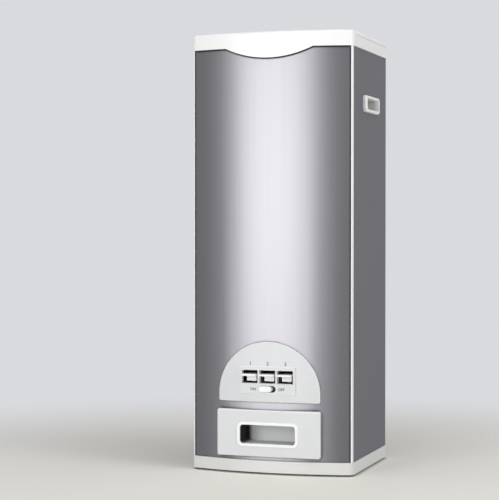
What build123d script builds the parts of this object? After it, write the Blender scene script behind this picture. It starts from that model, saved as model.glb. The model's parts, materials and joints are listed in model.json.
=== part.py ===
"""Metering rice dispenser: a tall bin whose keys drop one, two or three measures into a drawer.

Millimetres. +X is to the right seen from the front, +Y to the rear, +Z up.
The origin is the middle of the footprint, on the surface that the feet stand on.
"""

import os
from math import cos, pi, radians, sin, sqrt

from build123d import *

os.makedirs("parts", exist_ok=True)

# Driving sizes of the cabinet
body_width = 266.0
body_depth = 217.0
front_bow = 18.5
body_height = 656.0
foot_height = 3.0
foot_radius = 10.0
foot_stem_radius = 3.0
foot_stem_length = 8.0
foot_inset = 24.0
base_height = 19.0
base_deck = 3.0
base_wall = 2.5
front_corner_radius = 11.0
rear_corner_radius = 6.5
overhang = 2.0
sheet = 0.8
post_leg = 12.0
panel_seam = 0.05
trim_width = 2.2
trim_return = 7.0
trim_leg = 11.0
trim_leg_thickness = 1.2
trim_rounding = 1.6
trim_leg_gap = 0.1

# Lid, top frame and hinge
lid_height = 25.0
lid_plate = 3.0
lid_wall = 2.0
lid_edge = 6.5
lid_rounding = 3.5
lid_wrap = 17.0
lid_front_gap = 0.6
lid_side_gap = 0.7
lid_step_gap = 0.5
dip_half_width = 72.5
dip_depth = 16.5
seal_height = 1.6
seal_inset = 0.3
seal_end_gap = 2.0
frame_height = 18.0
frame_rim = 3.5
frame_rim_wall = 4.0
hinge_pin_radius = 2.0
hinge_barrel_radius = 4.0
hinge_barrel_gap = 0.4
hinge_knuckle_start = 60.0
hinge_knuckle_length = 20.0
hinge_ear_length = 9.7
hinge_end_gap = 0.3
running_fit = 0.06

# Hopper and the measuring works
hopper_wall = 2.0
hopper_side_gap = 25.5
hopper_front_gap = 23.0
hopper_rear_gap = 12.5
hopper_flange = 3.0
hopper_box_height = 317.0
hopper_flange_gap = 1.0
hopper_fit = 0.5
ledge_height = 6.0
key_pitch = 29.3
key_count = 3
bay_wall = 2.0
bay_radius = 64.5
rotor_side_gap = 0.4
rotor_tip_gap = 1.0
shutter = 1.5
rotor_plate = 1.2
rotor_hub_radius = 9.0
measure_core_radii = (52.0, 38.0, 12.0)
duct_low_angle = 40.0
duct_high_angle = 56.0
shutter_lap = 0.5
key_travel_angle = 16.0
shaft_radius = 3.0
housing_reach = 18.0
housing_roof = 3.5
clip_thickness = 1.0
clip_radius = 5.5
clip_groove_depth = 0.6

# Control panel, keys and lock slider
panel_half_width = 84.2
panel_drop = 40.0
panel_straight = 12.3
panel_thickness = 3.0
panel_bevel = 1.6
panel_corner = 3.0
panel_back_gap = 0.1
inset_margin = 1.55
inset_drop = 27.0
inset_height = 44.0
inset_proud = 2.5
inset_back = 9.0
window_bar = 2.8
window_drop = 10.0
window_height = 21.0
slot_width = 28.0
slot_drop = 24.0
slot_height = 10.5
opening_margin = 6.5
key_tab_side_gap = 1.75
key_tab_thickness = 3.2
key_tab_rise = 5.0
key_tab_proud = 6.0
key_stem_width = 16.0
key_stem_drop = 7.0
key_stem_front_gap = 1.5
key_stem_length = 18.0
key_hub_gap = 1.0
tongue_width = 10.0
tongue_height = 6.0
tongue_length = 9.9
tongue_fit = 0.1
spring_coil_radius = 3.6
spring_wire_radius = 0.4
spring_turns = 6
spring_inset = 6.0
spring_length = 20.0
spring_ledge = 3.0
lock_bar_thickness = 2.6
lock_bar_gap = 0.4
lock_finger_width = 6.0
lock_finger_gap = 1.0
lock_finger_top_gap = 0.6
knob_length = 21.0
knob_proud = 3.0
knob_slot_gap = 0.5
lock_bar_height = 9.0

# Drawer
drawer_lap = 6.5
drawer_rise = 6.0
drawer_over_tray = 20.5
drawer_proud = 4.6
drawer_sagitta = 2.0
drawer_back_gap = 0.4
drawer_rounding = 3.0
pocket_half_width = 46.2
pocket_rise = 16.4
pocket_height = 29.9
pocket_depth = 42.0
pocket_wall = 1.6
pocket_rim = 4.5
pocket_rim_proud = 1.2
pocket_rounding = 5.0
cup_fit = 0.1
tray_half_width = 79.0
tray_height = 49.7
tray_wall = 2.0
tray_rear_gap = 26.5
tunnel_wall = 2.0
tunnel_side_gap = 3.0
tunnel_roof_gap = 3.0
tunnel_flange = 10.0
runner_height = 10.0
runner_width = 14.0
runner_lip = 12.0
runner_side_gap = 0.4
slide_gap = 0.3
opening_gap = 2.5

# Hand grips in the side panels
grip_opening_length = 74.0
grip_opening_height = 18.0
grip_end_border = 8.0
grip_border = 4.5
grip_proud = 6.0
grip_depth = 20.0
grip_wall = 1.6
grip_drop = 86.0
grip_fit = 0.4

# Screws
screw_radius = 1.5
screw_head_radius = 3.0
screw_head_height = 1.6
screw_length = 7.0
screw_fit = 0.1
boss_radius = 4.0
boss_gap = 0.3

# Levels and places that follow from the driving sizes
half_width = body_width / 2
front_reach = panel_thickness + inset_proud + key_tab_proud
total_depth = front_reach + front_bow + body_depth + overhang + hinge_barrel_radius
apex_y = front_reach - total_depth / 2
corner_y = apex_y + front_bow
back_y = corner_y + body_depth
rear_y = back_y + overhang
bow_radius = (half_width**2 + front_bow**2) / (2 * front_bow)
bow_centre_y = apex_y + bow_radius
base_top = foot_height + base_height
body_top = base_top + body_height
lid_top = body_top + lid_height
frame_top = body_top + frame_height
trim_inner = half_width - trim_width
trim_rear_y = corner_y + trim_return

# Heights, from the base up through the drawer to the shaft, and round the shaft
tray_bottom = base_top + runner_height + slide_gap
tray_top = tray_bottom + tray_height
roof_bottom = tray_top + tunnel_roof_gap
housing_bottom = roof_bottom + tunnel_wall
shaft_z = housing_bottom + housing_roof + bay_radius
housing_top = shaft_z + bay_radius + housing_roof
drawer_bottom = base_top + drawer_rise
drawer_top = tray_top + drawer_over_tray
pocket_bottom = tray_bottom + pocket_rise
pocket_top = pocket_bottom + pocket_height
panel_bottom = shaft_z - panel_drop
panel_top = panel_bottom + panel_straight + panel_half_width
inset_bottom = shaft_z - inset_drop
inset_top = inset_bottom + inset_height
window_bottom = shaft_z - window_drop
window_top = window_bottom + window_height
slot_middle_z = shaft_z - slot_drop + slot_height / 2
key_tab_top = shaft_z + key_tab_rise
key_stem_bottom = shaft_z - key_stem_drop
spring_seat_height = key_stem_bottom - spring_length
grip_centre_height = body_top - grip_drop

# Depths, from the control panel back through the key stems to the shaft
inset_front_y = apex_y - panel_thickness - inset_proud
inset_back_y = inset_front_y + inset_back
stem_front_y = inset_back_y + key_stem_front_gap
stem_rear_y = stem_front_y + key_stem_length
spring_y = stem_rear_y - spring_inset
shaft_y = stem_rear_y + key_hub_gap + rotor_hub_radius
housing_front_y = shaft_y - housing_reach
housing_rear_y = shaft_y + bay_radius + housing_roof

# Widths of the keys, their windows and the drawer
inset_half_width = key_count * key_pitch / 2 + inset_margin
window_width = key_pitch - window_bar
key_tab_width = window_width - 2 * key_tab_side_gap
drawer_half_width = tray_half_width + drawer_lap
grip_length = grip_opening_length + 2 * grip_end_border
grip_height = grip_opening_height + 2 * grip_border


def bow_y(radius, x):
    """Depth of an arc about the cabinet's bow centre, at a distance x from the middle."""
    return bow_centre_y - sqrt(radius**2 - x**2)


def block(x0, x1, y0, y1, z0, z1, mode=Mode.ADD):
    """A box between two corners, joined to or cut from the part being built."""
    with Locations(((x0 + x1) / 2, (y0 + y1) / 2, (z0 + z1) / 2)):
        Box(abs(x1 - x0), abs(y1 - y0), abs(z1 - z0), mode=mode)


def rod_x(radius, x0, x1, y, z, mode=Mode.ADD):
    """A round bar along X."""
    with Locations(Location(((x0 + x1) / 2, y, z), (0, 90, 0))):
        Cylinder(radius, abs(x1 - x0), mode=mode)


def rod_y(radius, y0, y1, x, z, mode=Mode.ADD):
    """A round bar along Y."""
    with Locations(Location((x, (y0 + y1) / 2, z), (90, 0, 0))):
        Cylinder(radius, abs(y1 - y0), mode=mode)


def rod_z(radius, z0, z1, x, y, mode=Mode.ADD):
    """A round bar along Z."""
    with Locations((x, y, (z0 + z1) / 2)):
        Cylinder(radius, abs(z1 - z0), mode=mode)


def bowed_plan(half, radius, plan_rear_y, height):
    """Plan with a bowed front, straight sides and a straight back."""
    side_y = bow_y(radius, half)
    with BuildSketch(Plane.XY.offset(height)) as plan:
        with BuildLine():
            ThreePointArc((-half, side_y), (0, bow_y(radius, 0)), (half, side_y))
            Polyline((half, side_y), (half, plan_rear_y), (-half, plan_rear_y), (-half, side_y))
        make_face()
    return plan.sketch


def bowed_strip(x0, x1, outer, inner, height):
    """Plan of a strip between two arcs about the bow centre, from x0 to x1."""
    middle = (x0 + x1) / 2
    with BuildSketch(Plane.XY.offset(height)) as plan:
        with BuildLine():
            ThreePointArc((x0, bow_y(outer, x0)), (middle, bow_y(outer, middle)), (x1, bow_y(outer, x1)))
            Line((x1, bow_y(outer, x1)), (x1, bow_y(inner, x1)))
            ThreePointArc((x1, bow_y(inner, x1)), (middle, bow_y(inner, middle)), (x0, bow_y(inner, x0)))
            Line((x0, bow_y(inner, x0)), (x0, bow_y(outer, x0)))
        make_face()
    return plan.sketch


def round_corners(piece):
    """Round the upright edges of a plate with a bowed front: two at the front and two at the back."""
    fillet(piece.edges().filter_by(Axis.Z).sort_by(Axis.Y)[:2], front_corner_radius)
    fillet(piece.edges().filter_by(Axis.Z).sort_by(Axis.Y)[-2:], rear_corner_radius)


def rounded_inside(half, radius, plan_rear_y, height, wall):
    """Plan of the hollow in such a plate, with its corners rounded to keep an even wall."""
    with BuildSketch(Plane.XY.offset(height)) as plan:
        add(bowed_plan(half, radius, plan_rear_y, height))
        fillet(vertices().sort_by(Axis.Y)[:2], front_corner_radius - wall)
        fillet(vertices().sort_by(Axis.Y)[-2:], rear_corner_radius - wall)
    return plan.sketch


def save(piece, name):
    """Label a finished piece and write it under its own name."""
    piece.part.label = name
    export_step(piece.part, f"parts/{name}.step")


sides = (("left", -1), ("right", 1))

# Places of the feet and of the screws that hold the base
foot_places = {
    "foot_front_left": (-half_width + foot_inset, corner_y + foot_inset),
    "foot_front_right": (half_width - foot_inset, corner_y + foot_inset),
    "foot_rear_left": (-half_width + foot_inset, back_y - foot_inset),
    "foot_rear_right": (half_width - foot_inset, back_y - foot_inset),
}
boss_outer = foot_stem_radius + 2 * base_wall
tunnel_half = tray_half_width + tunnel_side_gap + tunnel_wall
base_screw_x = tunnel_half + tunnel_flange / 2
base_screw_places = [(side * base_screw_x, y) for side in (-1, 1) for y in (corner_y / 2, back_y / 2)]

# Base plinth: a deck on a skirt, hollow underneath
deck_bottom = base_top - base_deck
with BuildPart() as base:
    extrude(bowed_plan(half_width + overhang, bow_radius + overhang, rear_y, foot_height), base_height)
    round_corners(base)
    fillet(base.faces().sort_by(Axis.Z)[-1].edges(), overhang / 2)
    inner_half = half_width + overhang - base_wall
    inner_radius = bow_radius + overhang - base_wall
    inner_plan = rounded_inside(inner_half, inner_radius, rear_y - base_wall, foot_height, base_wall)
    extrude(inner_plan, deck_bottom - foot_height, mode=Mode.SUBTRACT)
    for x, y in foot_places.values():
        rod_z(boss_outer, foot_height, deck_bottom, x, y)
        rod_z(foot_stem_radius + screw_fit, foot_height, foot_height + foot_stem_length, x, y, Mode.SUBTRACT)
    for x, y in base_screw_places:
        rod_z(screw_radius + screw_fit, deck_bottom, base_top, x, y, Mode.SUBTRACT)
save(base, "base")

# Rubber feet, each with a stem up into a boss of the base
for name, (x, y) in foot_places.items():
    with BuildPart() as foot:
        rod_z(foot_radius, 0, foot_height, x, y)
        chamfer(foot.edges().sort_by(Axis.Z)[0], foot_height / 4)
        rod_z(foot_stem_radius, foot_height, foot_height + foot_stem_length, x, y)
    save(foot, name)

# Side panels: flat sheets in four fields, butted round the cut-out for the hand grip
grip_y = (corner_y + back_y) / 2
grip_pocket_length = grip_opening_length + 2 * grip_wall
grip_pocket_height = grip_opening_height + 2 * grip_wall
grip_low = grip_centre_height - grip_pocket_height / 2
grip_high = grip_centre_height + grip_pocket_height / 2
panel_rear_y = back_y - sheet
back_screw_x = half_width - sheet - post_leg / 2
back_screw_heights = [base_top + body_height * share for share in (0.05, 0.35, 0.65, 0.95)]
hole_front_y = grip_y - grip_pocket_length / 2 - grip_fit
hole_rear_y = grip_y + grip_pocket_length / 2 + grip_fit
hole_low, hole_high = grip_low - grip_fit, grip_high + grip_fit
for side, sign in sides:
    outer_x = sign * half_width
    inner_x = sign * (half_width - sheet)
    with BuildPart() as side_panel:
        for z0, z1 in ((base_top, hole_low), (hole_high, body_top)):
            block(inner_x, outer_x, trim_rear_y, panel_rear_y, z0, z1)
        for y0, y1 in ((trim_rear_y, hole_front_y), (hole_rear_y, panel_rear_y)):
            block(inner_x, outer_x, y0, y1, hole_low + panel_seam, hole_high - panel_seam)
    save(side_panel, f"side_panel_{side}")

# Rear posts: folded angles that join the side panels to the back panel
for side, sign in sides:
    post_x, post_front_y = sign * (half_width - sheet), panel_rear_y - post_leg
    with BuildPart() as rear_post:
        block(post_x - sign * sheet, post_x, post_front_y, panel_rear_y, base_top, body_top)
        block(post_x - sign * post_leg, post_x, panel_rear_y - sheet, panel_rear_y, base_top, body_top)
        for z in back_screw_heights:
            hole_x, hole_y = sign * back_screw_x, panel_rear_y - sheet
            rod_y(screw_radius + screw_fit, hole_y, panel_rear_y, hole_x, z, Mode.SUBTRACT)
    save(rear_post, f"rear_post_{side}")

# Back panel, screwed to the rear posts
back_screw_places = [(sign * back_screw_x, z) for side, sign in sides for z in back_screw_heights]
with BuildPart() as back_panel:
    block(-half_width, half_width, panel_rear_y, back_y, base_top, body_top)
    for x, z in back_screw_places:
        rod_y(screw_radius + screw_fit, panel_rear_y, back_y, x, z, Mode.SUBTRACT)
save(back_panel, "back_panel")

with BuildPart() as back_screws:
    for x, z in back_screw_places:
        rod_y(screw_head_radius, back_y, back_y + screw_head_height, x, z)
        rod_y(screw_radius, back_y - screw_length, back_y, x, z)
save(back_screws, "back_screws")

# Corner trims: white posts at the front corners, with legs behind the metal sheets
for side, sign in sides:
    inner, outer = sign * trim_inner, sign * half_width
    middle = (inner + outer) / 2
    corner, shoulder = (outer, corner_y), (inner, bow_y(bow_radius, inner))
    with BuildPart() as trim:
        with BuildSketch(Plane.XY.offset(base_top)):
            with BuildLine():
                ThreePointArc(shoulder, (middle, bow_y(bow_radius, middle)), corner)
                Polyline(corner, (outer, trim_rear_y), (inner, trim_rear_y), shoulder)
            make_face()
        extrude(amount=body_height)
        fillet(trim.edges().sort_by_distance((outer, corner_y, (base_top + body_top) / 2))[0], trim_rounding)
        leg_outer = bow_radius - sheet - trim_leg_gap
        leg_inner = leg_outer - trim_leg_thickness
        extrude(bowed_strip(inner - sign * trim_leg, middle, leg_outer, leg_inner, base_top), body_height)
        leg_x = sign * (half_width - sheet)
        block(
            leg_x, leg_x - sign * trim_leg_thickness,
            trim_rear_y - trim_leg_thickness, trim_rear_y + trim_leg,
            base_top, body_top,
        )
    save(trim, f"corner_trim_{side}")

# Bowed front panel, open behind the control panel and where the drawer passes
works_half = inset_half_width + opening_margin
works_bottom, works_top = inset_bottom - opening_margin, inset_top + opening_margin
boss_low = ((works_half + panel_half_width) / 2, panel_bottom + panel_straight)
boss_high = (key_pitch, (works_top + panel_top) / 2)
boss_places = [(sign * x, z) for side, sign in sides for x, z in (boss_low, boss_high)]
with BuildPart() as front_panel:
    extrude(bowed_strip(-trim_inner, trim_inner, bow_radius, bow_radius - sheet, base_top), body_height)
    block(-works_half, works_half, apex_y - sheet, corner_y, works_bottom, works_top, Mode.SUBTRACT)
    drawer_opening = tray_half_width + opening_gap
    block(
        -drawer_opening, drawer_opening, apex_y - sheet, corner_y,
        tray_bottom - opening_gap, tray_top + opening_gap, Mode.SUBTRACT,
    )
    for x, z in boss_places:
        rod_y(boss_radius + boss_gap, apex_y - sheet, corner_y, x, z, Mode.SUBTRACT)
save(front_panel, "front_panel")

# Hand grips: a proud bezel outside the side panel and a closed pocket behind it
for side, sign in sides:
    face = Plane((sign * half_width, grip_y, grip_centre_height), x_dir=(0, 1, 0), z_dir=(sign, 0, 0))
    with BuildPart() as grip:
        with BuildSketch(face):
            RectangleRounded(grip_length, grip_height, grip_height / 4)
        extrude(amount=grip_proud)
        fillet(grip.faces().sort_by(Axis.X)[-1 if sign > 0 else 0].edges(), grip_proud / 2)
        with BuildSketch(face):
            RectangleRounded(grip_pocket_length, grip_pocket_height, grip_pocket_height / 5)
        extrude(amount=-grip_depth)
        with BuildSketch(face.offset(grip_proud)):
            RectangleRounded(grip_opening_length, grip_opening_height, grip_opening_height / 5)
        extrude(amount=-(grip_proud + grip_depth - grip_wall), mode=Mode.SUBTRACT)
    save(grip, f"hand_grip_{side}")

# Top frame: a ring on the panels, with a ledge for the hopper and ears for the lid's pins
lid_half = half_width + overhang
lid_inner_half = lid_half - lid_wall
lid_inner_radius = bow_radius + lid_front_gap
lid_radius = lid_inner_radius + lid_wall
lid_wrap_y = bow_y(lid_radius, lid_half) + lid_wrap
lid_edge_bottom = lid_top - lid_edge
hopper_half = half_width - hopper_side_gap
hopper_front_y = apex_y + hopper_front_gap
hopper_rear_y = back_y - hopper_rear_gap
ledge_z = body_top + ledge_height
recess = hopper_flange + hopper_flange_gap
rim_top = frame_top + frame_rim
hinge_y = rear_y
hinge_z = (frame_top + lid_edge_bottom) / 2
knuckle_end = hinge_knuckle_start + hinge_knuckle_length
ear_spans = [
    (hinge_knuckle_start - hinge_end_gap - hinge_ear_length, hinge_knuckle_start - hinge_end_gap),
    (knuckle_end + hinge_end_gap, knuckle_end + hinge_end_gap + hinge_ear_length),
]
barrel_room = hinge_barrel_radius + hinge_barrel_gap


def hopper_frame(margin, z0, z1, mode):
    """A box round the hopper's walls, wider by a margin on each side."""
    block(
        -hopper_half - margin, hopper_half + margin,
        hopper_front_y - margin, hopper_rear_y + margin, z0, z1, mode,
    )


with BuildPart() as top_frame:
    extrude(bowed_plan(lid_inner_half - lid_side_gap, bow_radius, rear_y, body_top), frame_height)
    round_corners(top_frame)
    block(-lid_half, lid_half, lid_wrap_y + lid_step_gap, rear_y, body_top, frame_top)
    upright_edges = top_frame.edges().filter_by(Axis.Z)
    fillet(upright_edges.filter_by_position(Axis.Y, rear_y - sheet, rear_y + sheet), rear_corner_radius)
    hopper_frame(recess + frame_rim_wall, frame_top, rim_top, Mode.ADD)
    hopper_frame(recess, ledge_z, rim_top, Mode.SUBTRACT)
    hopper_frame(hopper_fit, body_top, ledge_z, Mode.SUBTRACT)
    for side, sign in sides:
        start, end = hinge_knuckle_start - hinge_end_gap, knuckle_end + hinge_end_gap
        rod_x(barrel_room, sign * start, sign * end, hinge_y, hinge_z, Mode.SUBTRACT)
        for x0, x1 in ear_spans:
            rod_x(hinge_barrel_radius, sign * x0, sign * x1, hinge_y, hinge_z)
            rod_x(hinge_pin_radius + running_fit, sign * x0, sign * x1, hinge_y, hinge_z, Mode.SUBTRACT)
save(top_frame, "top_frame")

for side, sign in sides:
    with BuildPart() as hinge_pin:
        rod_x(hinge_pin_radius, sign * ear_spans[0][0], sign * ear_spans[1][1], hinge_y, hinge_z)
    save(hinge_pin, f"hinge_pin_{side}")


def skirt_front(drop):
    """Front view of the lid's skirt down to its edge, or to a line that far below its edge."""
    edge, dip = body_top - drop, body_top - dip_depth - drop
    with BuildSketch(Plane.XZ.offset(-corner_y)) as view:
        with BuildLine():
            ThreePointArc((-dip_half_width, edge), (0, dip), (dip_half_width, edge))
            Polyline((dip_half_width, edge), (half_width, edge), (half_width, lid_top))
            Polyline((half_width, lid_top), (-half_width, lid_top), (-half_width, edge))
            Line((-half_width, edge), (-dip_half_width, edge))
        make_face()
    return view.sketch


# Lid: a plate with a thin edge, a tall front skirt that wraps the corners, and a thumb flap
with BuildPart() as lid_flap:
    flap_bottom = body_top - dip_depth
    flap_plan = bowed_strip(-dip_half_width, dip_half_width, lid_radius, lid_inner_radius, flap_bottom)
    extrude(flap_plan, dip_depth)
    extrude(skirt_front(0), total_depth, mode=Mode.INTERSECT)

with BuildPart() as lid:
    extrude(bowed_plan(lid_half, lid_radius, rear_y, body_top), lid_height)
    round_corners(lid)
    fillet(lid.faces().sort_by(Axis.Z)[-1].edges(), lid_rounding)
    inside = rounded_inside(lid_inner_half, lid_inner_radius, rear_y - lid_wall, body_top, lid_wall)
    extrude(inside, lid_height - lid_plate, mode=Mode.SUBTRACT)
    block(-lid_half, lid_half, lid_wrap_y, rear_y, body_top, lid_edge_bottom, Mode.SUBTRACT)
    add(lid_flap.part)
    for side, sign in sides:
        for x0, x1 in ear_spans:
            end_room = sign * hinge_end_gap
            rod_x(barrel_room, sign * x0 - end_room, sign * x1 + end_room, hinge_y, hinge_z, Mode.SUBTRACT)
        start, end = sign * hinge_knuckle_start, sign * knuckle_end
        rod_x(hinge_barrel_radius, start, end, hinge_y, hinge_z)
        rod_x(hinge_pin_radius + running_fit, start, end, hinge_y, hinge_z, Mode.SUBTRACT)
save(lid, "lid")

# Seal: a thin dark strip under the edge of the skirt
with BuildPart() as lid_seal:
    seal_half = trim_inner - seal_end_gap
    seal_outer, seal_inner = lid_radius - seal_inset, lid_inner_radius + seal_inset
    seal_bottom = flap_bottom - seal_height
    extrude(bowed_strip(-seal_half, seal_half, seal_outer, seal_inner, seal_bottom), dip_depth + seal_height)
    extrude(skirt_front(seal_height), total_depth, mode=Mode.INTERSECT)
    extrude(skirt_front(0), total_depth, mode=Mode.SUBTRACT)
save(lid_seal, "lid_seal")

# Places of the measuring works: bays side by side along one shaft
tunnel_inner = tray_half_width + tunnel_side_gap
bay_width = key_pitch - bay_wall
bays_half = key_count * key_pitch / 2 - bay_wall / 2
housing_half = bays_half + bay_wall
key_centres = [(index - (key_count - 1) / 2) * key_pitch for index in range(key_count)]
duct_front_y = shaft_y + bay_radius * cos(radians(duct_high_angle))
duct_rear_y = shaft_y + bay_radius * cos(radians(duct_low_angle))
duct_depth = bay_radius * sin(radians(duct_low_angle))
spring_reach = spring_coil_radius + spring_wire_radius
foot_flange = 2 * screw_head_radius + bay_wall
housing_screw_x = housing_half + foot_flange / 2
housing_screw_y = (housing_front_y + foot_flange, housing_rear_y - foot_flange)
housing_screw_places = [(sign * housing_screw_x, y) for side, sign in sides for y in housing_screw_y]


def shaft_plane(x):
    """Plane square to the shaft, with its own X to the rear and its own Y up."""
    return Plane((x, shaft_y, shaft_z), x_dir=(0, 1, 0), z_dir=(1, 0, 0))


def sector(plane, inner, outer, start, end):
    """Ring sector about the shaft, between two angles from the rear, in degrees."""
    with BuildSketch(plane) as shape:
        with BuildLine():
            for radius in (inner, outer):
                CenterArc((0, 0), radius, start, end - start)
            for angle in (radians(start), radians(end)):
                across, up = cos(angle), sin(angle)
                Line((inner * across, inner * up), (outer * across, outer * up))
        make_face()
    return shape.sketch


# Hopper: the bin itself, hung by its flange, and the funnel bonded under it down to the measuring works
hopper_top = ledge_z + hopper_flange
funnel_top = hopper_top - hopper_box_height


def funnel(top_margin, throat_margin):
    """Loft from the bin's walls down to the throat, each wider or narrower by a margin."""
    depth = hopper_rear_y - hopper_front_y
    middle_y = (hopper_rear_y + hopper_front_y) / 2
    throat_middle_y = (duct_front_y + duct_rear_y) / 2
    with BuildPart(mode=Mode.PRIVATE) as shape:
        with BuildSketch(Plane((0, middle_y, funnel_top))):
            Rectangle(2 * (hopper_half + top_margin), depth + 2 * top_margin)
        with BuildSketch(Plane((0, throat_middle_y, housing_top))):
            Rectangle(2 * (bays_half + throat_margin), duct_rear_y - duct_front_y + 2 * throat_margin)
        loft(ruled=True)
    return shape.part


with BuildPart() as hopper:
    hopper_frame(0, funnel_top, hopper_top, Mode.ADD)
    hopper_frame(hopper_flange, ledge_z, hopper_top, Mode.ADD)
    hopper_frame(-hopper_wall, funnel_top, hopper_top, Mode.SUBTRACT)
save(hopper, "hopper")

with BuildPart() as hopper_funnel:
    add(funnel(0, hopper_wall))
    add(funnel(-hopper_wall, 0), mode=Mode.SUBTRACT)
save(hopper_funnel, "hopper_funnel")

# Metering housing: three round bays with a rice inlet above and an outlet below each
with BuildPart() as metering_housing:
    block(-housing_half, housing_half, housing_front_y, housing_rear_y, housing_bottom, housing_top)
    for x, y in housing_screw_places:
        corner = foot_flange / 2
        flange_inner = x - corner if x > 0 else x + corner
        flange_outer = x + corner if x > 0 else x - corner
        block(flange_inner, flange_outer, y - corner, y + corner, housing_bottom, housing_bottom + bay_wall)
    for centre in key_centres:
        x0, x1 = centre - bay_width / 2, centre + bay_width / 2
        rod_x(bay_radius, x0, x1, shaft_y, shaft_z, Mode.SUBTRACT)
        block(x0, x1, duct_front_y, duct_rear_y, shaft_z + duct_depth, housing_top, Mode.SUBTRACT)
        block(x0, x1, duct_front_y, duct_rear_y, housing_bottom, shaft_z - duct_depth, Mode.SUBTRACT)
    ledge_front_y = spring_y - spring_reach - bay_wall / 2
    ledge_rear_y = spring_y + spring_reach + bay_wall / 2
    ledge_bottom = spring_seat_height - spring_ledge
    block(-housing_half, housing_half, ledge_front_y, ledge_rear_y, ledge_bottom, spring_seat_height)
    rod_x(shaft_radius + running_fit, -housing_half, housing_half, shaft_y, shaft_z, Mode.SUBTRACT)
    for x, y in housing_screw_places:
        rod_z(screw_radius + screw_fit, housing_bottom, housing_bottom + bay_wall, x, y, Mode.SUBTRACT)
save(metering_housing, "metering_housing")

# Shaft with a groove and a spring clip at each end
clip_inner_x = housing_half + hinge_end_gap
clip_outer_x = clip_inner_x + clip_thickness
groove_radius = shaft_radius - clip_groove_depth
with BuildPart() as metering_shaft:
    shaft_end = clip_outer_x + shaft_radius / 2
    rod_x(shaft_radius, -shaft_end, shaft_end, shaft_y, shaft_z)
    for side, sign in sides:
        with BuildSketch(shaft_plane(sign * (clip_inner_x + clip_outer_x) / 2)):
            Circle(shaft_radius)
            Circle(groove_radius, mode=Mode.SUBTRACT)
        extrude(amount=clip_thickness / 2, both=True, mode=Mode.SUBTRACT)
save(metering_shaft, "metering_shaft")

with BuildPart() as shaft_clips:
    for side, sign in sides:
        with BuildSketch(shaft_plane(sign * (clip_inner_x + clip_outer_x) / 2)):
            Circle(clip_radius)
            Circle(groove_radius + running_fit, mode=Mode.SUBTRACT)
            with Locations((0, -clip_radius / 2)):
                Rectangle(groove_radius, clip_radius, mode=Mode.SUBTRACT)
        extrude(amount=clip_thickness / 2 - running_fit, both=True)
save(shaft_clips, "shaft_clips")

# Return springs: coils of wire between the housing's ledge and the key stems
spring_rise = key_stem_bottom - spring_seat_height - 2 * (spring_wire_radius + tongue_fit)
quarter_turns = 4 * spring_turns
coil_slope = spring_rise / (2 * pi * spring_turns)


def coil_point(turn, centre):
    """Place and direction on the coil, after a number of turns."""
    angle = 2 * pi * turn
    across, along = cos(angle), sin(angle)
    start_z = spring_seat_height + spring_wire_radius + tongue_fit
    place = Vector(
        centre + spring_coil_radius * across,
        spring_y + spring_coil_radius * along,
        start_z + spring_rise * turn / spring_turns,
    )
    direction = Vector(-spring_coil_radius * along, spring_coil_radius * across, coil_slope)
    return place, direction.normalized()


def biarc(start, start_way, end, end_way):
    """Two arcs that leave the start and reach the end along the given directions."""
    chord = end - start
    way_sum = start_way + end_way
    bend = 2 * (1 - start_way.dot(end_way))
    lean = chord.dot(way_sum)
    reach = (sqrt(lean**2 + bend * chord.dot(chord)) - lean) / bend
    joint = (start + end + (start_way - end_way) * reach) * 0.5
    TangentArc(start, joint, tangent=start_way)
    TangentArc(joint, end, tangent=(end - end_way * reach) - (start + start_way * reach))


for number, centre in enumerate(key_centres, 1):
    coil_ends = [coil_point(quarter / 4, centre) for quarter in range(quarter_turns + 1)]
    with BuildPart() as return_spring:
        with BuildLine() as wire_path:
            for (start, start_way), (end, end_way) in zip(coil_ends, coil_ends[1:]):
                biarc(start, start_way, end, end_way)
        with BuildSketch(Plane(coil_ends[0][0], z_dir=coil_ends[0][1])):
            Circle(spring_wire_radius)
        sweep(path=wire_path.wire())
    save(return_spring, f"return_spring_{number}")

samples_per_turn = 24
coil_samples = [
    coil_point(index / samples_per_turn, 0)[0] for index in range(spring_turns * samples_per_turn + 1)
]
coil_gap = min(
    (far - near).length - 2 * spring_wire_radius
    for index, near in enumerate(coil_samples)
    for far in coil_samples[index + samples_per_turn // 2:]
)
print(f"least gap between the turns of a return spring: {coil_gap:.2f} mm")

# Control panel: a bowed arch with a flat raised block that holds the key windows and the slot
panel_back_radius = bow_radius + panel_back_gap
panel_front_radius = panel_back_radius + panel_thickness
spring_line_z = panel_bottom + panel_straight
front_plane = Plane.XZ.offset(-inset_front_y)


def boss_start(x):
    """Front end of a screw boss, inside the control panel."""
    return bow_y(panel_front_radius, x) + panel_bevel


def boss_end(x):
    """Rear end of a screw boss: just behind the front panel's sheet."""
    return bow_y(bow_radius - sheet, abs(x) + boss_radius) + boss_gap


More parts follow.
